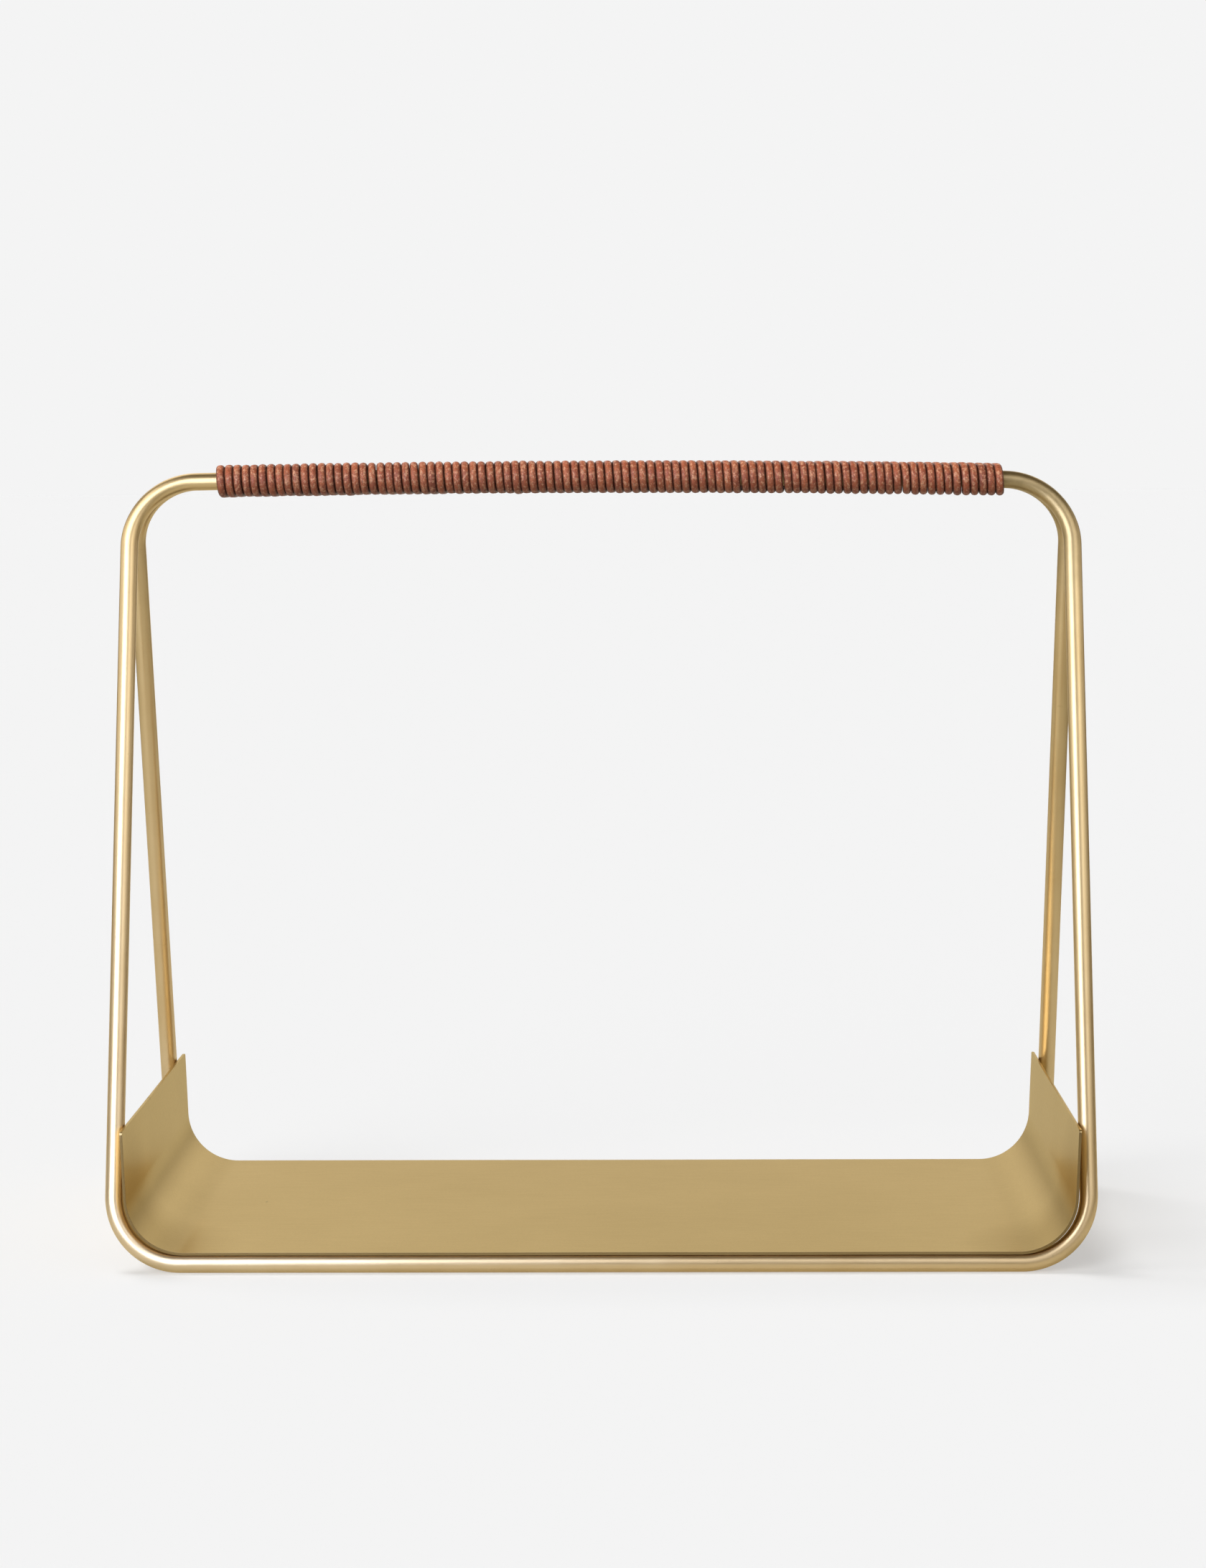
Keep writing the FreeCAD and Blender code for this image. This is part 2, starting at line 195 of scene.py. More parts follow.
# Painted light: the tube's colour from the lower left, where the floor and the lamps light it most, to the
# handle and the right.
TUBE_PAINTED_LIGHT_TONES = (
    (0.0, (0.79, 0.65, 0.45, 1)),
    (0.25, (0.73, 0.56, 0.325, 1)),
    (1.0, (0.66, 0.495, 0.25, 1)),
)
TUBE_CLOUD = (0.93, 0.90, 0.84, 1)
TUBE_SPOT = (0.34, 0.24, 0.10, 1)
# A darker patch at the handle's right end, partly tarnish and partly painted shade, and a little rougher.
TARNISH_AND_SHADE_PLACE = (0.200, 0.004, 0.352)
TARNISH_AND_SHADE_COLOUR = (0.27, 0.20, 0.09, 1)
TARNISH_AND_SHADE_ROUGHNESS = 0.12


def brass_tube_material():
    """Lacquered satin tube: a fine lengthwise polish, painted light that makes it palest at the lower left
    and deeper in colour towards the handle and the right, faint clouds, small spots and a darker patch
    at the handle's right end, partly tarnish and partly painted shade."""
    material, tree, shader = new_material("satin_brass_tube")
    place = object_coordinates(tree)
    stretch = add_node(tree, "ShaderNodeMapping")
    stretch.inputs["Scale"].default_value = (45.0, 7.0, 7.0)
    wire(tree, attribute_vector(tree, "tube_place"), stretch.inputs["Vector"])
    polish = noise_texture(tree, stretch.outputs["Vector"], 1.0, 3.0, 0.6)

    # Painted light: paler low down and on the left, deeper in colour higher up and to the right, where less
    # light falls.
    upward = value_range(tree, axis_of(tree, place, "Z"), 0.0, 0.36)
    rightward = value_range(tree, axis_of(tree, place, "X"), -0.2, 0.22, 0.0, 0.4)
    painted_light_tone = colour_ramp(tree, calculate(tree, "ADD", upward, rightward), TUBE_PAINTED_LIGHT_TONES)
    clouds = value_range(tree, noise_texture(tree, place, 30.0, 3.0, 0.55), 0.35, 0.7)
    tint = mix_colour(tree, clouds, painted_light_tone, TUBE_CLOUD, "MULTIPLY")
    spots = value_range(tree, noise_texture(tree, place, 190.0, 5.0, 0.7), 0.66, 0.8, 0.0, 0.55)
    spotted = mix_colour(tree, spots, tint, TUBE_SPOT)

    # The darker patch at the handle's right end: partly tarnish, partly painted shade where the end turns
    # away from the lamps.
    shade_darkening = value_range(tree, distance_from(tree, place, TARNISH_AND_SHADE_PLACE), 0.01, 0.075, 0.9, 0.0)
    cloudy = value_range(tree, noise_texture(tree, place, 110.0, 4.0, 0.6), 0.3, 0.6, 0.55, 1.0)
    tarnish_and_shade = calculate(tree, "MULTIPLY", shade_darkening, cloudy)
    wire(tree, mix_colour(tree, tarnish_and_shade, spotted, TARNISH_AND_SHADE_COLOUR), shader.inputs["Base Color"])

    shader.inputs["Metallic"].default_value = 1.0
    shader.inputs["Specular Tint"].default_value = (0.95, 0.84, 0.62, 1)
    shader.inputs["Coat Weight"].default_value = 0.4
    shader.inputs["Coat IOR"].default_value = 1.7
    shader.inputs["Coat Roughness"].default_value = 0.3
    polished = value_range(tree, polish, 0.3, 0.7, 0.33, 0.4)
    patch_roughening = calculate(tree, "MULTIPLY", tarnish_and_shade, TARNISH_AND_SHADE_ROUGHNESS)
    wire(tree, calculate(tree, "ADD", polished, patch_roughening), shader.inputs["Roughness"])
    dents = add_bump(tree, shader, noise_texture(tree, place, 40.0, 1.0), 0.00008, 0.12)
    add_bump(tree, shader, polish, 0.000012, 0.5, under=dents)
    return material


SHEET_COLOURS = ((0.70, 0.535, 0.27, 1), (0.665, 0.505, 0.25, 1))
GRAIN_COLOUR = (0.35, 0.25, 0.10, 1)
MOTTLE_COLOUR = (0.38, 0.27, 0.11, 1)
SPECK_COLOUR = (0.16, 0.10, 0.04, 1)
# A dark mark at the front foot of each end wall, partly a stain and partly a painted reflection.
STAIN_AND_REFLECTION_FOOT = (0.207, 0.084, 0.022)
STAIN_AND_REFLECTION_COLOUR = (0.36, 0.24, 0.08, 1)
# The dark front cut edge: partly the edge's own colour, partly painted shadow where it meets the bar.
CUT_EDGE_AND_SHADOW_COLOUR = (0.09, 0.05, 0.02, 1)
CUT_EDGE_SHADOW_FADE = (-0.10002, -0.0996)


def brass_sheet_material():
    """Matt sheet: rolling grain along its length, cloudy tarnish, a few dark specks, a dark mark at the
    front foot of each end wall, partly a stain and partly a painted reflection, and a dark front cut
    edge, partly painted shadow where it meets the bar."""
    material, tree, shader = new_material("matt_brass_sheet")
    place = object_coordinates(tree)
    clouds = value_range(tree, noise_texture(tree, place, 14.0, 4.0, 0.6), 0.35, 0.68)
    tint = mix_colour(tree, clouds, *SHEET_COLOURS)
    grain_place = object_coordinates(tree, (60.0, 900.0, 900.0))
    grain = noise_texture(tree, grain_place, 1.0, 3.0, 0.6)
    streaked = mix_colour(tree, value_range(tree, grain, 0.3, 0.7, 0.0, 0.06), tint, GRAIN_COLOUR)
    mottle = value_range(tree, noise_texture(tree, place, 950.0, 3.0, 0.7), 0.4, 0.75, 0.0, 0.16)
    mottled = mix_colour(tree, mottle, streaked, MOTTLE_COLOUR)

    cells = add_node(tree, "ShaderNodeTexVoronoi", Scale=38.0)
    wire(tree, object_coordinates(tree, (1.0, 0.35, 1.0)), cells.inputs["Vector"])
    near_point = value_range(tree, cells.outputs["Distance"], 0.018, 0.036, 1.0, 0.0)
    few = add_node(tree, "ShaderNodeSeparateColor")
    wire(tree, cells.outputs["Color"], few.inputs["Color"])
    chosen = calculate(tree, "GREATER_THAN", few.outputs["Red"], 0.6)
    speck = calculate(tree, "MULTIPLY", near_point, chosen)
    speckled = mix_colour(tree, calculate(tree, "MULTIPLY", speck, 0.6), mottled, SPECK_COLOUR)

    # The dark mark at each wall's front foot: partly a stain, partly a painted reflection.
    mirrored = add_node(tree, "ShaderNodeVectorMath", operation="ABSOLUTE")
    wire(tree, place, mirrored.inputs[0])
    near_foot = distance_from(tree, mirrored.outputs["Vector"], STAIN_AND_REFLECTION_FOOT)
    stain_and_reflection = value_range(tree, near_foot, 0.016, 0.05, 0.5, 0.0)
    backward = axis_of(tree, place, "Y")
    in_front = value_range(tree, backward, -0.03, 0.0, 1.0, 0.0)
    stained_and_reflected = mix_colour(tree, calculate(tree, "MULTIPLY", stain_and_reflection, in_front), speckled, STAIN_AND_REFLECTION_COLOUR)
    # The front cut edge darkens, partly its own colour and partly painted shadow where it meets the bar
    # below.
    edge_and_shadow = value_range(tree, backward, *CUT_EDGE_SHADOW_FADE, 0.62, 0.0)
    wire(tree, mix_colour(tree, edge_and_shadow, stained_and_reflected, CUT_EDGE_AND_SHADOW_COLOUR), shader.inputs["Base Color"])

    shader.inputs["Metallic"].default_value = 1.0
    shader.inputs["Specular Tint"].default_value = (0.86, 0.78, 0.58, 1)
    wire(tree, value_range(tree, grain, 0.25, 0.75, 0.29, 0.33), shader.inputs["Roughness"])
    sway = add_bump(tree, shader, noise_texture(tree, place, 9.0, 1.0), 0.0006, 0.25)
    add_bump(tree, shader, grain, 0.00001, 0.3, under=sway)
    return material


BRAZE_COLOURS = ((0.58, 0.45, 0.24, 1), (0.36, 0.24, 0.13, 1))


def braze_material():
    """Dull filler metal, rippled as it set, with heat tint."""
    material, tree, shader = new_material("braze_filler")
    place = object_coordinates(tree)
    heat = value_range(tree, noise_texture(tree, place, 420.0, 3.0), 0.35, 0.65)
    wire(tree, mix_colour(tree, heat, *BRAZE_COLOURS), shader.inputs["Base Color"])
    shader.inputs["Metallic"].default_value = 1.0
    wire(tree, value_range(tree, heat, 0.0, 1.0, 0.4, 0.6), shader.inputs["Roughness"])
    add_bump(tree, shader, noise_texture(tree, place, 700.0, 2.0), 0.0002, 0.6)
    return material


LEATHER_TONES = (srgb(148, 70, 41), srgb(202, 102, 60))
LEATHER_PATCH = srgb(222, 128, 80)
# Pale spots: partly pale grain, partly painted glints.
LEATHER_PALE_GRAIN_AND_GLINT = srgb(250, 184, 142)
LEATHER_CREASE_SHADE = srgb(84, 40, 28)
LEATHER_GROOVE_SHADE = srgb(48, 17, 9)
LEATHER_UNDERSIDE_SHADE = srgb(60, 26, 16)


def leather_material():
    """Waxed cord: colour that changes from turn to turn, pale spots, partly pale grain and partly painted
    glints, fine creases and folds with painted shade in the creases, painted shade in the grooves
    between the turns and painted shade on the underside."""
    material, tree, shader = new_material("cognac_leather_cord")
    place = attribute_vector(tree, "cord_place")
    slow = noise_texture(tree, place, 22.0, 2.0)
    patches = noise_texture(tree, place, 160.0, 4.0, 0.6)
    base = mix_colour(tree, value_range(tree, slow, 0.3, 0.7), *LEATHER_TONES)
    mottled = mix_colour(tree, value_range(tree, patches, 0.4, 0.68, 0.0, 0.7), base, LEATHER_PATCH)
    # Pale spots, partly pale grain and partly painted glints.
    pale_grain_and_glints = value_range(tree, noise_texture(tree, place, 760.0, 2.0, 0.6), 0.5, 0.64, 0.0, 0.8)
    speckled = mix_colour(tree, pale_grain_and_glints, mottled, LEATHER_PALE_GRAIN_AND_GLINT)

    creases = add_node(tree, "ShaderNodeTexVoronoi", feature="DISTANCE_TO_EDGE", Scale=1300.0)
    wire(tree, place, creases.inputs["Vector"])
    crease_line = value_range(tree, creases.outputs["Distance"], 0.0, 0.12, 1.0, 0.0)
    # Painted shade: the crease lines are darkened.
    crease_shaded = mix_colour(tree, calculate(tree, "MULTIPLY", crease_line, 0.6), speckled, LEATHER_CREASE_SHADE)

    # Painted shade: each turn's sides darken into the grooves between the turns.
    cord_side = add_node(tree, "ShaderNodeAttribute", attribute_name="cord_side")
    groove_shade = value_range(tree, cord_side.outputs["Fac"], 0.5, 0.97, 0.0, 0.92)
    groove_shaded = mix_colour(tree, groove_shade, crease_shaded, LEATHER_GROOVE_SHADE)
    # Painted shade: the underside of the cord, which faces down, is darker.
    normal = add_node(tree, "ShaderNodeNewGeometry").outputs["Normal"]
    shade_darkening = value_range(tree, axis_of(tree, normal, "Z"), -0.75, 0.1, 0.5, 0.0)
    wire(tree, mix_colour(tree, shade_darkening, groove_shaded, LEATHER_UNDERSIDE_SHADE), shader.inputs["Base Color"])

    shader.inputs["Coat Weight"].default_value = 0.16
    shader.inputs["Coat Roughness"].default_value = 0.3
    shader.inputs["Specular IOR Level"].default_value = 0.38
    wire(tree, value_range(tree, patches, 0.3, 0.7, 0.46, 0.62), shader.inputs["Roughness"])
    folds = add_bump(tree, shader, noise_texture(tree, place, 420.0, 4.0, 0.6), 0.0004, 0.55)
    pores = calculate(tree, "MULTIPLY", crease_line, -1.0)
    add_bump(tree, shader, pores, 0.00012, 0.5, under=folds)
    return material


# ---------------------------------------------------------------- mesh helpers

def circle_point(angle):
    return (math.cos(angle), math.sin(angle))


def add_object(name, data):
    thing = bpy.data.objects.new(name, data)
    bpy.context.scene.collection.objects.link(thing)
    return thing


def smooth_faces(mesh):
    for polygon in mesh.polygons:
        polygon.use_smooth = True


def add_mesh(name, vertices, faces, material):
    mesh = bpy.data.meshes.new(name)
    mesh.from_pydata(vertices, [], faces)
    mesh.update()
    smooth_faces(mesh)
    mesh.materials.append(material)
    return add_object(name, mesh)


def swept_faces(rings, sides, closed):
    """Quads between neighbouring rings of vertices, and back to the first ring if closed."""
    faces = []
    for ring in range(rings if closed else rings - 1):
        first = ring * sides
        second = (ring + 1) % rings * sides
        for side in range(sides):
            after = (side + 1) % sides
            faces.append((first + side, first + after, second + after, second + side))
    return faces


def keep_vectors(piece, name, vectors):
    """Store one vector for each vertex, for the materials to read."""
    attribute = piece.data.attributes.new(name, "FLOAT_VECTOR", "POINT")
    attribute.data.foreach_set("vector", [number for vector in vectors for number in vector])


def keep_numbers(piece, name, numbers):
    """Store one number for each vertex, for the materials to read."""
    attribute = piece.data.attributes.new(name, "FLOAT", "POINT")
    attribute.data.foreach_set("value", numbers)


def face_outward(piece):
    shape = bmesh.new()
    shape.from_mesh(piece.data)
    bmesh.ops.recalc_face_normals(shape, faces=shape.faces)
    shape.to_mesh(piece.data)
    shape.free()


def stand_for(piece, slot, *nodes):
    """The piece rides with the rack and is shown in place of these CAD nodes."""
    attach(piece, "root")
    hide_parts(*nodes)


def apply_modifiers(piece):
    """Keep the mesh that the modifiers make, and drop the modifiers."""
    graph = bpy.context.evaluated_depsgraph_get()
    final = bpy.data.meshes.new_from_object(piece.evaluated_get(graph))
    piece.modifiers.clear()
    piece.data = final


# ---------------------------------------------------------------- hand-bent shape

TUBE_RADIUS = 4.0 * MM
HANDLE_BOW = 2.4 * MM
HANDLE_TILT = 0.6 * MM


def hand_bent(point):
    """Where a point of the true shape ends up on a rack that was bent by hand: the handle is bowed
    up a little between the corners and sits slightly higher on the left."""
    share_up = point.z / cad_high[2]
    share_across = point.x / (cad_high[0] - TUBE_RADIUS)
    bow = HANDLE_BOW * max(0.0, 1 - share_across ** 2) if share_up > 0.5 else 0.0
    tilt = -HANDLE_TILT * share_up * share_across
    return point + Vector((0, 0, bow + tilt))


def bend_by_hand(node, name, slot, material):
    """A copy of a CAD node that follows the bowed handle, shown in its place."""
    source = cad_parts[node]
    mesh = source.data.copy()
    mesh.transform(source.matrix_world)
    for vertex in mesh.vertices:
        vertex.co = hand_bent(vertex.co)
    mesh.materials.clear()
    mesh.materials.append(material)
    stand_for(add_object(name, mesh), slot, node)


# ---------------------------------------------------------------- tube loops

LOOP_BEND = 30.0 * MM
TUBE_SIDES = 40
BEND_STEPS = 28
RUN_STEP = 3.0 * MM


def rounded_rectangle(half_width, height, bend):
    """Points round a rectangle with rounded corners, as x, height and outward direction. They run
    anticlockwise, starting at the lower end of the bottom right bend."""
    corners = (
        (half_width - bend, bend, -90), (half_width - bend, height - bend, 0),
        (bend - half_width, height - bend, 90), (bend - half_width, bend, 180),
    )
    points = []
    for number, (x, up, start) in enumerate(corners):
        for step in range(BEND_STEPS + 1):
            outward = circle_point(math.radians(start + 90 * step / BEND_STEPS))
            points.append((x + bend * outward[0], up + bend * outward[1], outward))
        next_x, next_up, next_start = corners[(number + 1) % len(corners)]
        outward = circle_point(math.radians(next_start))
        run_start = Vector(points[-1][:2])
        run_end = Vector((next_x + bend * outward[0], next_up + bend * outward[1]))
        steps = int((run_end - run_start).length / RUN_STEP)
        for step in range(1, steps):
            spot = run_start.lerp(run_end, step / steps)
            points.append((spot.x, spot.y, outward))
    return points


def make_tube_loop(name, node, front, material):
    """One closed loop of round tube in its leaning plane, with the distance along it and the
    direction round it kept for the lengthwise polish. Front is 1 for the loop whose bottom bar is
    in front, and -1 for the other."""
    low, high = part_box(node)
    bottom_y, top_y = (low.y, high.y) if front > 0 else (high.y, low.y)
    bottom = Vector((0, bottom_y + front * TUBE_RADIUS, low.z + TUBE_RADIUS))
    top = Vector((0, top_y - front * TUBE_RADIUS, high.z - TUBE_RADIUS))
    upward = (top - bottom).normalized()
    sideways = Vector((1, 0, 0)).cross(upward)
    half_width = (high.x - low.x) / 2 - TUBE_RADIUS
    route = rounded_rectangle(half_width, (top - bottom).length, LOOP_BEND)

    vertices = []
    places = []
    along = 0.0
    previous = None
    for x, up, (out_x, out_up) in route:
        centre = bottom + Vector((x, 0, 0)) + upward * up
        if previous is not None:
            along += (centre - previous).length
        previous = centre
        outward = Vector((out_x, 0, 0)) + upward * out_up
        for side in range(TUBE_SIDES):
            angle = 2 * math.pi * side / TUBE_SIDES
            across = outward * math.cos(angle) + sideways * math.sin(angle)
            vertices.append(hand_bent(centre + across * TUBE_RADIUS))
            places.append((along, math.cos(angle), math.sin(angle)))
    loop = add_mesh(name, vertices, swept_faces(len(route), TUBE_SIDES, closed=True), material)
    keep_vectors(loop, "tube_place", places)
    face_outward(loop)
    stand_for(loop, "brass_tube", node)


# ---------------------------------------------------------------- tray

TRAY_THICKNESS = 1.2 * MM
TRAY_BEND = 25.4 * MM
TRAY_LEAN = math.radians(2.0)
TRAY_CORNER = 1.5 * MM
TRAY_EDGE = 0.3 * MM
TRAY_EDGE_SEGMENTS = 4
SHARP_EDGE = math.radians(50)
TRAY_SWAY = 0.07 * MM
TRAY_SWAYS_PER_METRE = 14
CORNER_STEPS = 10
WALL_STEPS = 12
TRAY_BEND_STEPS = 44
FLAT_STEPS = 60
DEPTH_STEPS = 36


def tray_section(side, floor, top):
    """Points (x, z, outward x, outward z, distance down the wall) along half the sheet's middle
    surface, from the top of the right wall to the middle of the floor."""
    lean_x, lean_z = math.sin(TRAY_LEAN), math.cos(TRAY_LEAN)
    foot_z = floor + TRAY_BEND * (1 - lean_x)
    wall = (top - foot_z) / lean_z
    foot_x = side - wall * lean_x
    centre_x = foot_x - TRAY_BEND * lean_z
    corner_angles = [math.pi / 2 * step / CORNER_STEPS for step in range(CORNER_STEPS)]
    drops = [TRAY_CORNER * (1 - math.cos(angle)) for angle in corner_angles]
    drops += [TRAY_CORNER + (wall - TRAY_CORNER) * step / WALL_STEPS for step in range(WALL_STEPS)]
    points = [(side - drop * lean_x, top - drop * lean_z, lean_z, -lean_x, drop) for drop in drops]
    for step in range(TRAY_BEND_STEPS):
        angle = TRAY_LEAN + (math.pi / 2 - TRAY_LEAN) * step / TRAY_BEND_STEPS
        across, down = math.cos(angle), math.sin(angle)
        points.append((centre_x + TRAY_BEND * across, floor + TRAY_BEND * (1 - down), across, -down, wall))
    for step in range(FLAT_STEPS + 1):
        points.append((centre_x * (1 - step / FLAT_STEPS), floor, 0.0, -1.0, wall))
    return points


def make_tray(material):
    """The bent sheet, very slightly wavy, with rounded top corners and broken edges all round."""
    low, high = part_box("tray")
    half_depth = (high.y - low.y) / 2
    right = tray_section(high.x - TRAY_THICKNESS / 2, low.z + TRAY_THICKNESS / 2, high.z)
    left = [(-x, z, -nx, nz, drop) for x, z, nx, nz, drop in right[-2::-1]]
    section = right + left

    vertices = []
    for x, z, normal_x, normal_z, drop in section:
        reach = half_depth
        if drop < TRAY_CORNER:
            reach += math.sqrt(TRAY_CORNER ** 2 - (TRAY_CORNER - drop) ** 2) - TRAY_CORNER
        for cut in range(DEPTH_STEPS + 1):
            y = reach * math.sin(math.pi * (cut / DEPTH_STEPS - 0.5))
            sway = TRAY_SWAY * noise.noise(Vector((x, y, z)) * TRAY_SWAYS_PER_METRE)
            vertices.append((x + normal_x * sway, y, z + normal_z * sway))
    row = DEPTH_STEPS + 1
    faces = [
        (i * row + j, i * row + j + 1, (i + 1) * row + j + 1, (i + 1) * row + j)
        for i in range(len(section) - 1) for j in range(DEPTH_STEPS)
    ]
    tray = add_mesh("tray_sheet", vertices, faces, material)
    thick = tray.modifiers.new("thickness", "SOLIDIFY")
    thick.thickness = TRAY_THICKNESS
    thick.offset = 0.0
    thick.use_even_offset = True
    # of all the edges in the mesh, only those of the sheet itself are sharp
    soften = tray.modifiers.new("broken_edges", "BEVEL")
    soften.width = TRAY_EDGE
    soften.segments = TRAY_EDGE_SEGMENTS
    soften.limit_method = "ANGLE"
    soften.angle_limit = SHARP_EDGE
    apply_modifiers(tray)
    smooth_faces(tray.data)
    stand_for(tray, "brass_sheet", "tray")


# ---------------------------------------------------------------- leather cord

CORD_WIDTH = 3.86 * MM
CORD_THICKNESS = 3.4 * MM
CORD_TURNS = 93
STEPS_PER_TURN = 44
SECTION_STEPS = 20
SECTION_SQUARENESS = 2.05
TUCK_STEPS = 8
TURN_UNEVENNESS = 0.09 * MM
THICKNESS_WOBBLE = 0.035
WOBBLES_PER_METRE = 90
WOBBLE_ROW = (3.1, 0.7)
PEBBLE_HEIGHT = 0.045 * MM
PEBBLES_PER_METRE = 520
TUCKED_TAPER = 0.55
END_OVERHANG = 0.7 * MM


def oval_point(share, straight, radius):
    """A point and outward direction, in y and z, on a straight-sided oval round both bars.
    Straight is half the length of a straight side. Share runs from 0 at the bottom middle towards
    the back, over the top and down the front."""
    arc = math.pi * radius
    length = 4 * straight + 2 * arc
    distance = (share % 1.0) * length
    if distance < straight:
        return (distance, -radius), (0.0, -1.0)
    distance -= straight
    if distance < arc:
        outward = circle_point(-math.pi / 2 + distance / radius)
        return (straight + radius * outward[0], radius * outward[1]), outward
    distance -= arc
    if distance < 2 * straight:
        return (straight - distance, radius), (0.0, 1.0)
    distance -= 2 * straight
    if distance < arc:
        outward = circle_point(math.pi / 2 + distance / radius)
        return (-straight + radius * outward[0], radius * outward[1]), outward
    distance -= arc
    return (-straight + distance, -radius), (0.0, -1.0)


def cord_stations():
    """Centre, outward direction and section scale at each step along the wound cord. It starts in
    the groove on top of the bars, goes down the front first and ends in the groove below."""
    low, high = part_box("leather_wrap")
    bar_offset = TUBE_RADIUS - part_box("front_loop")[1].y
    centre_z = (low.z + high.z) / 2
    radius = (high.z - low.z) / 2 - CORD_THICKNESS / 2
    pitch = (high.x - low.x + 2 * END_OVERHANG - CORD_WIDTH) / (CORD_TURNS - 0.5)
    first_x = low.x - END_OVERHANG + CORD_WIDTH / 2

    turn_lift = [random.gauss(0, TURN_UNEVENNESS) for _ in range(CORD_TURNS + 2)]
    turn_slip = [random.gauss(0, TURN_UNEVENNESS) for _ in range(CORD_TURNS + 2)]
    stations = []
    first = STEPS_PER_TURN // 2
    last = CORD_TURNS * STEPS_PER_TURN
    for index in range(first - TUCK_STEPS, last + TUCK_STEPS + 1):
        turns = min(max(index, first), last) / STEPS_PER_TURN
        whole = int(turns)
        ease = (turns - whole) ** 2 * (3 - 2 * (turns - whole))
        lift = turn_lift[whole] * (1 - ease) + turn_lift[whole + 1] * ease
        slip = turn_slip[whole] * (1 - ease) + turn_slip[whole + 1] * ease
        (y, z), (out_y, out_z) = oval_point(turns, bar_offset, radius + lift)
        x = first_x + (turns - 0.5) * pitch + slip
        beyond = max(first - index, index - last, 0) / TUCK_STEPS
        z -= math.copysign(beyond * CORD_THICKNESS, z)
        scale = 1 - TUCKED_TAPER * beyond
        stations.append((Vector((x, y, centre_z + z)), Vector((0, out_y, out_z)), scale))
    return stations


def power_circle(angle, power):
    """Cosine and sine, pushed towards a rounded square."""
    across, raised = circle_point(angle)
    return (math.copysign(abs(across) ** (2 / power), across),
            math.copysign(abs(raised) ** (2 / power), raised))


def make_leather_cord(material):
    """One leather cord, wound side by side round both top bars from end to end."""
    stations = cord_stations()
    vertices = []
    places = []
    sides = []
    along = 0.0
    for number, (centre, outward, scale) in enumerate(stations):
        if number:
            along += (centre - stations[number - 1][0]).length
        wobble = 1 + THICKNESS_WOBBLE * noise.noise(Vector((along * WOBBLES_PER_METRE, *WOBBLE_ROW)))
        for step in range(SECTION_STEPS):
            across, raised = power_circle(2 * math.pi * step / SECTION_STEPS, SECTION_SQUARENESS)
            point = (centre
                     + Vector((1, 0, 0)) * (across * CORD_WIDTH / 2 * scale)
                     + outward * (raised * CORD_THICKNESS / 2 * scale * wobble))
            pebble = noise.noise(point * PEBBLES_PER_METRE) * PEBBLE_HEIGHT
            point += outward * pebble * max(raised, 0)
            vertices.append(hand_bent(point))
            places.append((along, across * CORD_WIDTH / 2, raised * CORD_THICKNESS / 2))
            sides.append(abs(across))
    faces = swept_faces(len(stations), SECTION_STEPS, closed=False)
    faces.append(tuple(reversed(range(SECTION_STEPS))))
    last = len(vertices) - SECTION_STEPS
    faces.append(tuple(last + step for step in range(SECTION_STEPS)))
    cord = add_mesh("leather_cord", vertices, faces, material)
    keep_vectors(cord, "cord_place", places)
    keep_numbers(cord, "cord_side", sides)
    face_outward(cord)
    stand_for(cord, "leather_cord", "leather_wrap")
    print(f"leather cord: {along:.2f} m, {len(vertices)} vertices")


# ---------------------------------------------------------------- studio

PAPER = 0.905
AMBIENT = 0.24
FLOOR_ALBEDO = 0.5
FLOOR_RADIUS = 30.0
FLOOR_SIDES = 96
# In the metal, the floor shows a bright pool that fades out between the two distances of POOL_EDGE.
FLOOR_IN_METAL_NEAR = (0.72, 0.685, 0.575, 1)
FLOOR_IN_METAL_FAR = (0.30, 0.27, 0.20, 1)
POOL_CENTRE = (-0.35, 0.5, 0.0)
POOL_EDGE = (0.95, 1.5)
DIM_ROOM = (0.14, 0.11, 0.065, 1)
LAMP_AIM = Vector((0.0, 0.0, 0.17))
SUN_DISTANCE = 3.0
PANEL_DISTANCE = 1.7
KEY_DISTANCE = 1.1
NEUTRAL = (1.0, 1.0, 1.0)
COOL = (0.97, 1.0, 1.08)
KEY_COLOUR = (0.93, 1.0, 1.2)

# Name, azimuth, elevation, strength and angular width.
SUNS = (
    ("shading_sun", -128, 69, 1.55, 22),
    ("low_sun", -38, 24, 1.65, 44),
)

# Name, azimuth, elevation, width, height, radiance, colour and distance.
SOFTBOXES = (
    ("key", -35.5, 20, 0.92, 1.04, 4.0, KEY_COLOUR, KEY_DISTANCE),
    ("left_high", -72, 42, 0.7, 1.0, 1.6, NEUTRAL, PANEL_DISTANCE),
    ("left_low", -100, 19, 1.8, 0.8, 1.0, NEUTRAL, PANEL_DISTANCE),
    ("front", 0, 45, 0.8, 0.6, 0.5, NEUTRAL, PANEL_DISTANCE),
    ("front_right", 28, 27, 0.85, 1.3, 1.3, COOL, PANEL_DISTANCE),
    ("right_high", 52, 36, 1.0, 0.75, 1.3, NEUTRAL, PANEL_DISTANCE),
    ("right_low", 60, 16, 1.2, 0.6, 0.9, NEUTRAL, PANEL_DISTANCE),
    ("right_back", 108, 19, 1.5, 0.75, 0.65, NEUTRAL, PANEL_DISTANCE),
    ("back_low", 180, 12, 1.3, 0.95, 0.69, NEUTRAL, PANEL_DISTANCE),
    ("back_left", -150, 42, 0.85, 1.1, 1.5, NEUTRAL, PANEL_DISTANCE),
    ("back_right", 150, 33, 0.8, 0.75, 1.1, NEUTRAL, PANEL_DISTANCE),
)

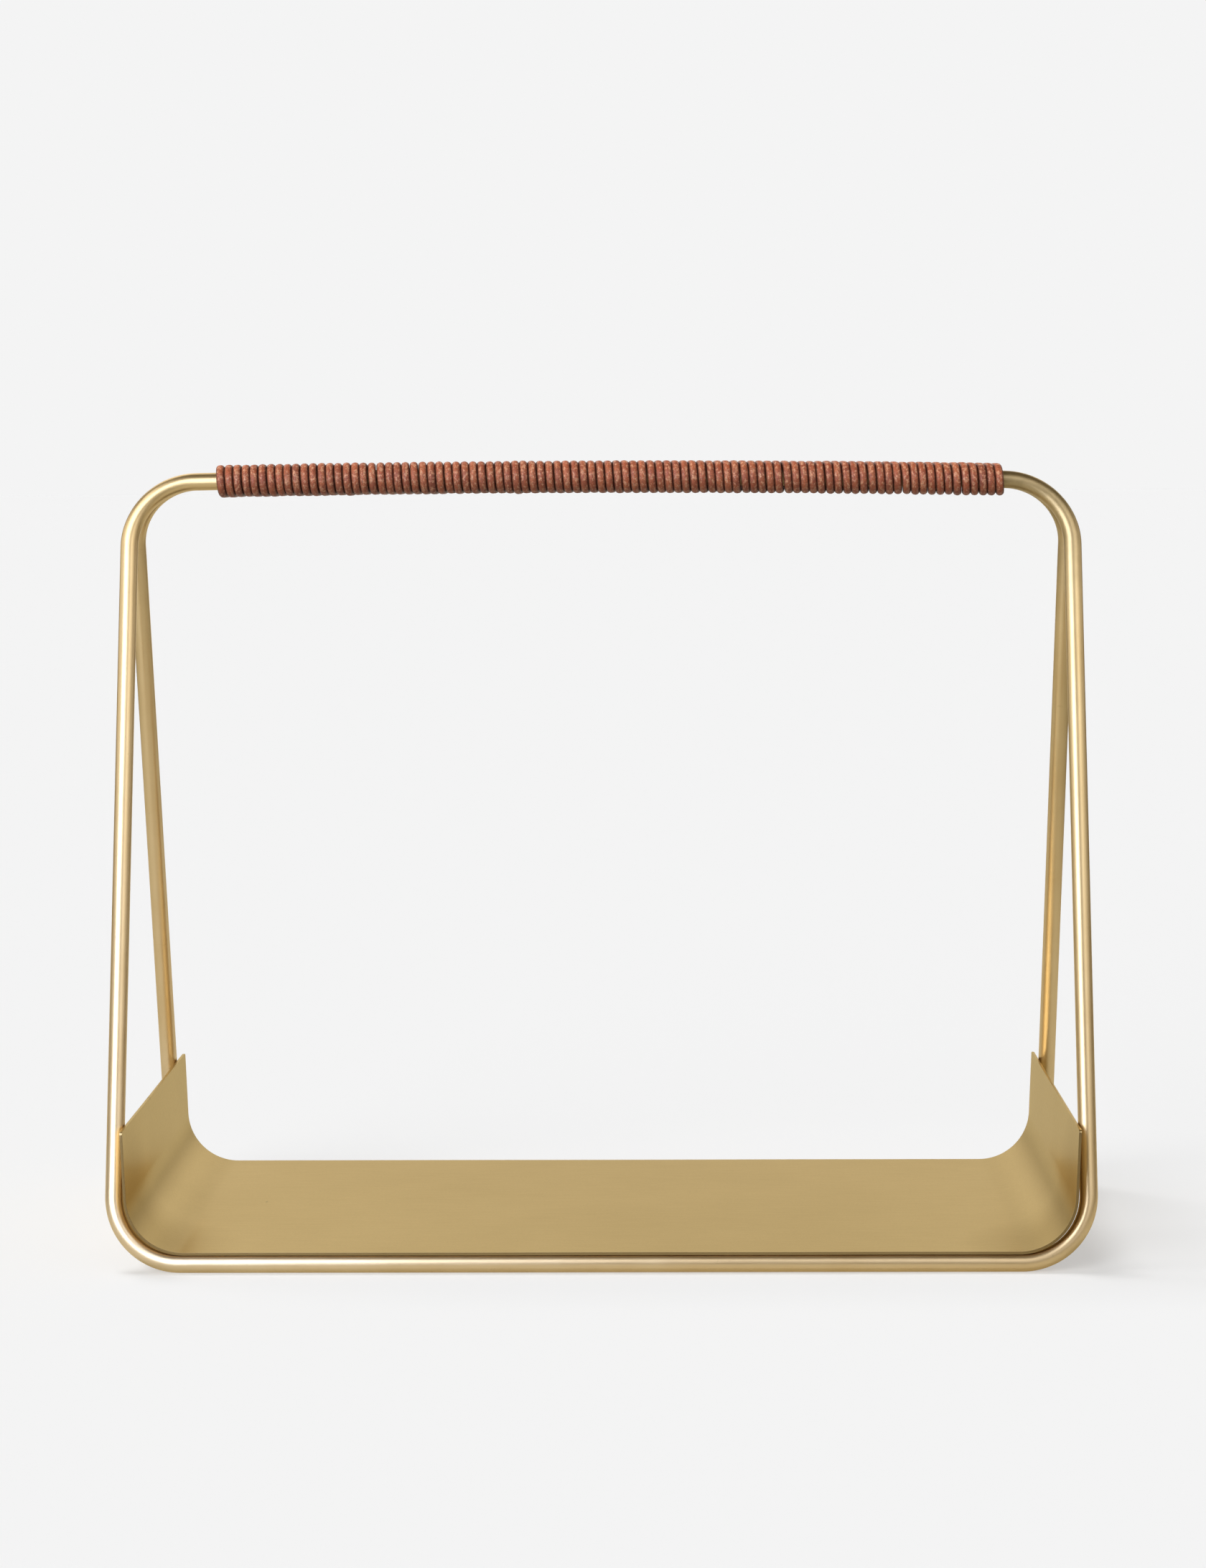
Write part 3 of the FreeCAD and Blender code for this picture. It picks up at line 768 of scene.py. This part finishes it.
SENSOR_WIDTH = 36.0
FOCAL_LENGTH = 79.04
CAMERA_PLACE = (0.0315, -1.5915, 0.3606)
CAMERA_YAW = math.radians(1.1128)
CAMERA_PITCH = math.radians(5.5038)
CAMERA_ROLL = math.radians(-0.3415)


def direction(azimuth, elevation):
    """The way to a light, from degrees; azimuth 0 is in front of the rack and 90 to its right."""
    turn = math.radians(azimuth)
    lift = math.radians(elevation)
    return Vector((math.sin(turn) * math.cos(lift), -math.cos(turn) * math.cos(lift), math.sin(lift)))


def pick_by_ray(tree, ray_kind, otherwise, chosen):
    """One of two shaders, by the kind of ray that arrives."""
    ray = add_node(tree, "ShaderNodeLightPath")
    blend = add_node(tree, "ShaderNodeMixShader")
    wire(tree, ray.outputs[ray_kind], blend.inputs[0])
    wire(tree, otherwise, blend.inputs[1])
    wire(tree, chosen, blend.inputs[2])
    return blend.outputs[0]


def floor_material():
    """Matt paper that takes the rack's shade, with a glow that makes up the difference to what is
    wanted: the level of the backdrop for the camera, the pool of light for the metal, and nothing
    for the light that the floor throws onto the leather. Where the pool is darker than the lit
    paper, the glow takes light away."""
    material = bpy.data.materials.new("studio_floor")
    material.use_nodes = True
    tree = material.node_tree
    tree.nodes.clear()
    sunlight = sum(strength * direction(azimuth, elevation).z
                   for _, azimuth, elevation, strength, _ in SUNS)
    lit_level = FLOOR_ALBEDO * (AMBIENT + sunlight / math.pi)
    seen = add_node(tree, "ShaderNodeEmission", Color=(1, 1, 1, 1), Strength=PAPER - lit_level)
    far = value_range(tree, distance_from(tree, object_coordinates(tree), POOL_CENTRE), *POOL_EDGE)
    pool = mix_colour(tree, far, FLOOR_IN_METAL_NEAR, FLOOR_IN_METAL_FAR)
    unlit = mix_colour(tree, 1.0, pool, (lit_level, lit_level, lit_level, 1), "SUBTRACT")
    mirrored = add_node(tree, "ShaderNodeEmission", Strength=1.0)
    wire(tree, unlit, mirrored.inputs["Color"])
    dark = add_node(tree, "ShaderNodeEmission", Color=(0, 0, 0, 1), Strength=0.0)
    unseen = pick_by_ray(tree, "Is Glossy Ray", dark.outputs[0], mirrored.outputs[0])
    glow = pick_by_ray(tree, "Is Camera Ray", unseen, seen.outputs[0])
    paper = add_node(tree, "ShaderNodeBsdfDiffuse", Color=(FLOOR_ALBEDO, FLOOR_ALBEDO, FLOOR_ALBEDO, 1))
    both = add_node(tree, "ShaderNodeAddShader")
    wire(tree, paper.outputs[0], both.inputs[0])
    wire(tree, glow, both.inputs[1])
    output = add_node(tree, "ShaderNodeOutputMaterial")
    wire(tree, both.outputs[0], output.inputs["Surface"])
    return material


def make_floor():
    """A pale floor, as light as the surroundings wherever the rack doesn't shade it."""
    mesh = bpy.data.meshes.new("floor")
    shape = bmesh.new()
    bmesh.ops.create_circle(shape, cap_ends=True, segments=FLOOR_SIDES, radius=FLOOR_RADIUS)
    shape.to_mesh(mesh)
    shape.free()
    mesh.materials.append(floor_material())
    floor = add_object("floor", mesh)


def make_surroundings():
    """A pale backdrop for the camera, an even soft light, and a dim warm room in the metal."""
    world = bpy.data.worlds.new("studio")
    bpy.context.scene.world = world
    world.use_nodes = True
    tree = world.node_tree
    tree.nodes.clear()
    backdrop = add_node(tree, "ShaderNodeBackground", Color=(1, 1, 1, 1), Strength=PAPER)
    even = add_node(tree, "ShaderNodeBackground", Color=(1, 1, 1, 1), Strength=AMBIENT)
    room = add_node(tree, "ShaderNodeBackground", Color=DIM_ROOM, Strength=1.0)
    unseen = pick_by_ray(tree, "Is Glossy Ray", even.outputs[0], room.outputs[0])
    output = add_node(tree, "ShaderNodeOutputWorld")
    wire(tree, pick_by_ray(tree, "Is Camera Ray", unseen, backdrop.outputs[0]), output.inputs["Surface"])


def add_lamp(name, light, azimuth, elevation, distance):
    """A lamp that faces the middle of the rack and that the camera doesn't see."""
    lamp = add_object(name, light)
    offset = direction(azimuth, elevation)
    lamp.location = LAMP_AIM + offset * distance
    lamp.rotation_euler = offset.to_track_quat("Z", "Y").to_euler()
    lamp.visible_camera = False
    return lamp


def add_softboxes():
    """Soft panels all round that show in the metal and in the leather's sheen."""
    for name, azimuth, elevation, width, height, radiance, colour, distance in SOFTBOXES:
        light = bpy.data.lights.new(name, "AREA")
        light.color = colour
        light.shape = "RECTANGLE"
        light.size = width
        light.size_y = height
        light.energy = math.pi * width * height * radiance
        add_lamp(name, light, azimuth, elevation, distance).visible_diffuse = False


def add_suns():
    """Wide, even light on all that is matt: one sun, high at the back left, shades the floor beside
    the rack, and the other, lower and at the front left, lights what faces the front."""
    for name, azimuth, elevation, strength, width in SUNS:
        light = bpy.data.lights.new(name, "SUN")
        light.energy = strength
        light.angle = math.radians(width)
        add_lamp(name, light, azimuth, elevation, SUN_DISTANCE).visible_glossy = False


def make_camera():
    """The photographer's place: in front, level with the handle, tipped a little down, on a long
    lens."""
    lens = bpy.data.cameras.new("camera")
    lens.sensor_width = SENSOR_WIDTH
    lens.lens = FOCAL_LENGTH
    camera = add_object("camera", lens)
    turn = (Matrix.Rotation(CAMERA_YAW, 4, "Z")
            @ Matrix.Rotation(math.pi / 2 - CAMERA_PITCH, 4, "X")
            @ Matrix.Rotation(CAMERA_ROLL, 4, "Z"))
    camera.matrix_world = Matrix.Translation(CAMERA_PLACE) @ turn
    bpy.context.scene.camera = camera


# ---------------------------------------------------------------- the scene

make_camera()
make_surroundings()
make_floor()
add_suns()
add_softboxes()

tube_brass = brass_tube_material()
braze = braze_material()
make_tube_loop("front_tube", "front_loop", 1, tube_brass)
make_tube_loop("rear_tube", "rear_loop", -1, tube_brass)
bend_by_hand("front_seam_pin", "front_joint_pin", "brass_pin", tube_brass)
bend_by_hand("rear_seam_pin", "rear_joint_pin", "brass_pin", tube_brass)
bend_by_hand("top_bar_tacks", "top_bar_brazing", "braze_filler", braze)
for node in ("front_tray_solder", "rear_tray_solder"):
    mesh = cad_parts[node].data
    mesh.materials.clear()
    mesh.materials.append(braze)
make_tray(brass_sheet_material())
make_leather_cord(leather_material())

bpy.context.scene.view_settings.view_transform = "Standard"
